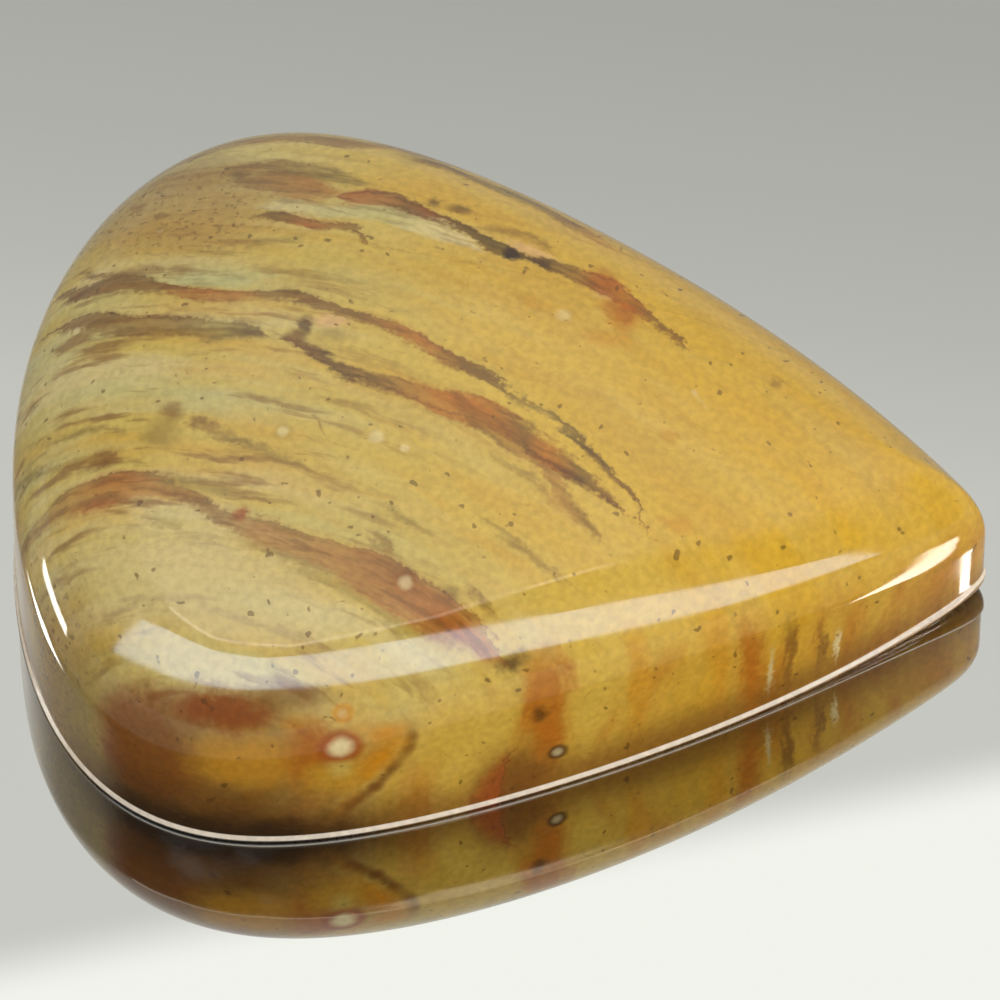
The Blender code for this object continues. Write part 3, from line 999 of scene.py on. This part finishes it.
# A graded backdrop high behind the stone, which the table shows.
backdrop = {
    "azimuth": 189.0,
    "elevation": 50.0,
    "distance": 300.0,
    "halfSize": 55.0,
    "grey": [(-26, 1.0), (-7, 0.99), (0, 0.97), (7, 0.95), (13, 0.87), (19, 0.80), (26, 0.75), (39, 0.67)],
    # height on the card from its middle, and how much of the room it lets through there
    "greySkew": 0.112,
    "whiteGlow": 0.64,
    "whiteAt": -22.8,       # where the grey turns to white, and half the width of that change
    "whiteSoft": 2.4,
    "whiteSkew": -0.193,
}

room = {
    "back": 1.15,
    "backLow": 0.72,
    "frontLow": 0.25,
    "frontGap": 0.12,
    "frontHigh": 1.3,
    "leftLow": 0.55,
    # where each change starts and ends, by the direction's y toward the front, its x, or its z
    "frontEdge": (-0.05, 0.25),
    "gapHeight": (0.58, 0.72),
    "highHeight": (0.80, 0.86),
    "backHeight": (0.60, 0.73),
    "leftEdge": (-0.28, -0.55),
    "leftHeight": (0.86, 0.77),
    "tint": (1.0, 1.0, 0.985, 1.0),
}

# Light cards by azimuth and elevation from the stone: corners, strength and colour.
# The stone catches them by way of the table only. The low front one keeps the table pale from behind.
cardSteps = 12
cardFade = 0.05
sideCards = {
    "leftWindow": {"azimuth": (-100, -86), "elevation": (12, 17),
                   "strength": 26.0, "colour": (1, 1, 0.97, 1)},
    "leftStrip": {"azimuth": (-118, -106), "elevation": (38, 46),
                  "strength": 16.0, "colour": (1, 1, 0.97, 1)},
    "lowFront": {"azimuth": (-110, 110), "elevation": (1, 34),
                 "strength": 0.5, "colour": (1, 1, 0.97, 1)},
    "tipWindow": {"azimuth": (73, 79), "elevation": (16, 44),
                  "strength": 26.0, "colour": (1, 0.82, 0.78, 1)},
    "tipStrip": {"azimuth": (90, 97), "elevation": (44, 56),
                 "strength": 22.0, "colour": (1, 0.95, 0.93, 1)},
}

fillLights = {
    "frontFill": {"azimuth": 30.0, "elevation": 25.0, "distance": 300.0, "size": 180.0, "power": 0.53},
    "leftFill": {"azimuth": -85.0, "elevation": 20.0, "distance": 300.0, "size": 150.0, "power": 0.22},
    "tipFill": {"azimuth": 95.0, "elevation": 25.0, "distance": 300.0, "size": 120.0, "power": 0.12},
}

frontPanel = {
    "distance": 320.0,
    "strength": 6.0,
    "fade": 0.12,           # lowest share of its height over which it fades in
    "colour": (0.64, 0.80, 1.0, 1.0),
    # azimuth, lower and upper elevation
    "edges": [(-66, 8, 36), (-58, 14, 43), (-48, 19, 46), (-30, 24, 47.5), (-10, 26, 47.5), (10, 26, 47.5),
              (25, 22, 46.5), (38, 18, 43), (48, 12, 37), (58, 5, 30), (71, 0, 12)],
}

# A thin strip above it, that the leaning top of the wall shows in the table.
highStrip = {
    "strength": 3.0,
    "colour": (1.0, 0.9, 0.75, 1.0),
    "edges": [(-70, 52.5, 54.5), (-40, 53.5, 55.5), (0, 54, 56), (40, 53.5, 55.5), (75, 52.5, 54.5)],
}


def direction(azimuth, elevation):
    # Azimuth 0 is the front (-Y) and 90 the tip (+X).
    a, e = math.radians(azimuth), math.radians(elevation)
    return Vector((math.sin(a) * math.cos(e), -math.cos(a) * math.cos(e), math.sin(e)))


def meshPiece(name, points, faces, material):
    mesh = bpy.data.meshes.new(name)
    mesh.from_pydata([tuple(Vector(p) * mm) for p in points], [], faces)
    mesh.materials.append(material)
    piece = bpy.data.objects.new(name, mesh)
    bpy.context.scene.collection.objects.link(piece)
    return piece


def makeTable():
    material = bpy.data.materials.new("paleMirrorTable")
    material.use_nodes = True
    shader = material.node_tree.nodes["Principled BSDF"]
    shader.inputs["Base Color"].default_value = tuple(t * table["reflects"] for t in table["tint"]) + (1,)
    shader.inputs["Metallic"].default_value = 1.0
    shader.inputs["Roughness"].default_value = table["roughness"]
    half = table["halfSize"]
    corners = [(-half, -half, 0), (half, -half, 0), (half, half, 0), (-half, half, 0)]
    return meshPiece("table", corners, [(0, 1, 2, 3)], material)


def backdropMaterial():
    # The grey and the white field, by the card's own coordinates.
    material = bpy.data.materials.new("backdropPaint")
    material.use_nodes = True
    tree = material.node_tree
    tree.nodes.clear()
    across, along = splitXyz(tree, tree.nodes.new("ShaderNodeUVMap").outputs[0])[:2]
    ramp = tree.nodes.new("ShaderNodeValToRGB")
    stops = backdrop["grey"]
    nearest, farthest = stops[0][0], stops[-1][0]
    greyHeight = calc(tree, "MULTIPLY_ADD", across, backdrop["greySkew"], along)
    feed(tree, ramp.inputs[0], rangeShare(tree, greyHeight, float(nearest), float(farthest), smooth=False))
    greys = [(value, value, value, 1) for at, value in stops]
    ramp.color_ramp.elements[0].color = greys[0]
    ramp.color_ramp.elements[1].color = greys[-1]
    for (at, value), colour in list(zip(stops, greys))[1:-1]:
        ramp.color_ramp.elements.new((at - nearest) / (farthest - nearest)).color = colour
    whiteHeight = calc(tree, "MULTIPLY_ADD", across, backdrop["whiteSkew"], along)
    lower, upper = backdrop["whiteAt"] - backdrop["whiteSoft"], backdrop["whiteAt"] + backdrop["whiteSoft"]
    glow = tree.nodes.new("ShaderNodeEmission")
    white = rangeShare(tree, whiteHeight, upper, lower)
    feed(tree, glow.inputs["Strength"], times(tree, white, backdrop["whiteGlow"]))
    seeThrough(tree, glow, lay(tree, ramp.outputs[0], (1, 1, 1, 1), white))
    return material


def makeBackdrop(tableOnly):
    middle = direction(backdrop["azimuth"], backdrop["elevation"])
    right = Vector((-middle.y, middle.x, 0)).normalized() * -1
    along = middle.cross(right)
    half = backdrop["halfSize"]
    places = [(-half, -half), (half, -half), (half, half), (-half, half)]
    corners = [middle * backdrop["distance"] + right * i + along * j for i, j in places]
    card = meshPiece("backdrop", corners, [(0, 1, 2, 3)], backdropMaterial())
    layer = card.data.uv_layers.new(name="UVMap")
    for loop in card.data.loops:
        layer.data[loop.index].uv = places[loop.vertex_index]
    hideFromAllButGloss(card)
    card.light_linking.receiver_collection = tableOnly


def hideFromAllButGloss(card):
    card.visible_camera = False
    card.visible_diffuse = False
    card.visible_shadow = False


def glowMaterial(name, strength, colour, fade):
    # Light that fades in over the lowest share of the card's height.
    material = bpy.data.materials.new(name)
    material.use_nodes = True
    tree = material.node_tree
    tree.nodes.clear()
    glow = tree.nodes.new("ShaderNodeEmission")
    glow.inputs["Color"].default_value = colour
    apart = splitXyz(tree, tree.nodes.new("ShaderNodeUVMap").outputs[0])
    share = rangeShare(tree, apart[1], 0.0, fade)
    feed(tree, glow.inputs["Strength"], times(tree, share, strength))
    seeThrough(tree, glow)
    return material


def seeThrough(tree, glow, shade=None):
    # A piece that a card isn't linked to sees what is behind the card.
    both = tree.nodes.new("ShaderNodeAddShader")
    feed(tree, both.inputs[0], glow.outputs[0])
    clear = tree.nodes.new("ShaderNodeBsdfTransparent")
    if shade:
        feed(tree, clear.inputs["Color"], shade)
    feed(tree, both.inputs[1], clear.outputs[0])
    feed(tree, tree.nodes.new("ShaderNodeOutputMaterial").inputs[0], both.outputs[0])


def curvedCard(name, edges, distance, material):
    # A light card on a sphere round the stone: azimuth, lower and upper elevation of each step.
    points, uvs = [], []
    for azimuth, lower, upper in edges:
        for share, elevation in ((0.0, lower), (1.0, upper)):
            points.append(direction(azimuth, elevation) * distance)
            uvs.append((0.5, share))
    faces = [(2 * i, 2 * i + 1, 2 * i + 3, 2 * i + 2) for i in range(len(edges) - 1)]
    card = meshPiece(name, points, faces, material)
    layer = card.data.uv_layers.new(name="UVMap")
    for loop in card.data.loops:
        layer.data[loop.index].uv = uvs[loop.vertex_index]
    hideFromAllButGloss(card)
    return card


def lonely(name, piece):
    # A collection of one piece, that a light can be linked to.
    group = bpy.data.collections.new(name)
    bpy.context.scene.collection.children.link(group)
    group.objects.link(piece)
    return group


def makeCards(stoneOnly, tableOnly):
    strip = curvedCard("highStrip", highStrip["edges"], frontPanel["distance"],
                       glowMaterial("stripGlow", highStrip["strength"], highStrip["colour"], cardFade))
    strip.light_linking.receiver_collection = stoneOnly
    glow = glowMaterial("frontGlow", frontPanel["strength"], frontPanel["colour"], frontPanel["fade"])
    panel = curvedCard("frontSoftbox", frontPanel["edges"], frontPanel["distance"], glow)
    panel.light_linking.receiver_collection = stoneOnly
    for name, card in sideCards.items():
        (start, end), (lower, upper) = card["azimuth"], card["elevation"]
        edges = [(start + (end - start) * i / cardSteps, lower, upper) for i in range(cardSteps + 1)]
        window = curvedCard(name, edges, frontPanel["distance"],
                            glowMaterial(name + "Glow", card["strength"], card["colour"], cardFade))
        window.light_linking.receiver_collection = tableOnly


def makeFills():
    for name, fill in fillLights.items():
        lamp = bpy.data.lights.new(name, "AREA")
        lamp.shape = "SQUARE"
        lamp.size = fill["size"] * mm
        lamp.energy = fill["power"]
        lampObject = bpy.data.objects.new(name, lamp)
        aim = direction(fill["azimuth"], fill["elevation"])
        lampObject.location = aim * fill["distance"] * mm
        lampObject.rotation_euler = aim.to_track_quat("Z", "Y").to_euler()
        lampObject.visible_glossy = False
        bpy.context.scene.collection.objects.link(lampObject)


def makeRoom():
    # Soft surroundings: even behind the stone, dim in front, and bright high in front.
    world = bpy.data.worlds.new("softStudio")
    bpy.context.scene.world = world
    world.use_nodes = True
    tree = world.node_tree
    tree.nodes.clear()
    apart = splitXyz(tree, tree.nodes.new("ShaderNodeTexCoord").outputs["Generated"])
    toFront = times(tree, apart[1], -1.0)
    height = apart[2]
    front = rangeShare(tree, toFront, *room["frontEdge"])
    gap = rangeShare(tree, height, *room["gapHeight"])
    high = rangeShare(tree, height, *room["highHeight"])
    level = plus(tree, room["frontLow"], times(tree, gap, room["frontGap"] - room["frontLow"]))
    level = plus(tree, level, times(tree, high, room["frontHigh"] - room["frontGap"]))
    highBack = rangeShare(tree, height, *room["backHeight"])
    back = calc(tree, "MULTIPLY_ADD", highBack, room["back"] - room["backLow"], room["backLow"])
    toLeft = rangeShare(tree, apart[0], *room["leftEdge"])
    toLeft = times(tree, toLeft, rangeShare(tree, height, *room["leftHeight"]))
    back = plus(tree, back, times(tree, toLeft, minus(tree, room["leftLow"], back)))
    change = times(tree, front, minus(tree, level, back))
    surround = tree.nodes.new("ShaderNodeBackground")
    surround.inputs["Color"].default_value = room["tint"]
    feed(tree, surround.inputs["Strength"], plus(tree, back, change))
    feed(tree, tree.nodes.new("ShaderNodeOutputWorld").inputs[0], surround.outputs[0])


view = {
    "azimuth": 8.8,
    "elevation": 50.0,
    "distance": 450.0,
    "lens": 393.7,
    "sensor": 36.0,
    "clip": (0.01, 20.0),          # metres
    "aim": (0.0, 1.848, 0.0),      # the point that the framing is set from
    "right": -0.10,
    "up": 1.345,
}


def makeCamera():
    back = direction(view["azimuth"], view["elevation"])
    right = Vector((math.cos(math.radians(view["azimuth"])), math.sin(math.radians(view["azimuth"])), 0))
    up = back.cross(right)
    target = Vector(view["aim"]) + right * view["right"] + up * view["up"]
    data = bpy.data.cameras.new("camera")
    data.lens = view["lens"]
    data.sensor_width = view["sensor"]
    data.clip_start, data.clip_end = view["clip"]
    camera = bpy.data.objects.new("camera", data)
    camera.location = (target + back * view["distance"]) * mm
    camera.rotation_euler = back.to_track_quat("Z", "Y").to_euler()
    bpy.context.scene.collection.objects.link(camera)
    bpy.context.scene.camera = camera
    bpy.context.view_layer.update()


bpy.context.scene.view_settings.view_transform = "Standard"
makeCamera()
print("camera set")
polished = makeStone(makeStoneMaterial())
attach(polished, "root")
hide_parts("cabochon")
surface = makeTable()
makeRoom()
makeFills()
tableOnly = lonely("tableOnly", surface)
makeCards(lonely("stoneOnly", polished), tableOnly)
makeBackdrop(tableOnly)
print("studio set")
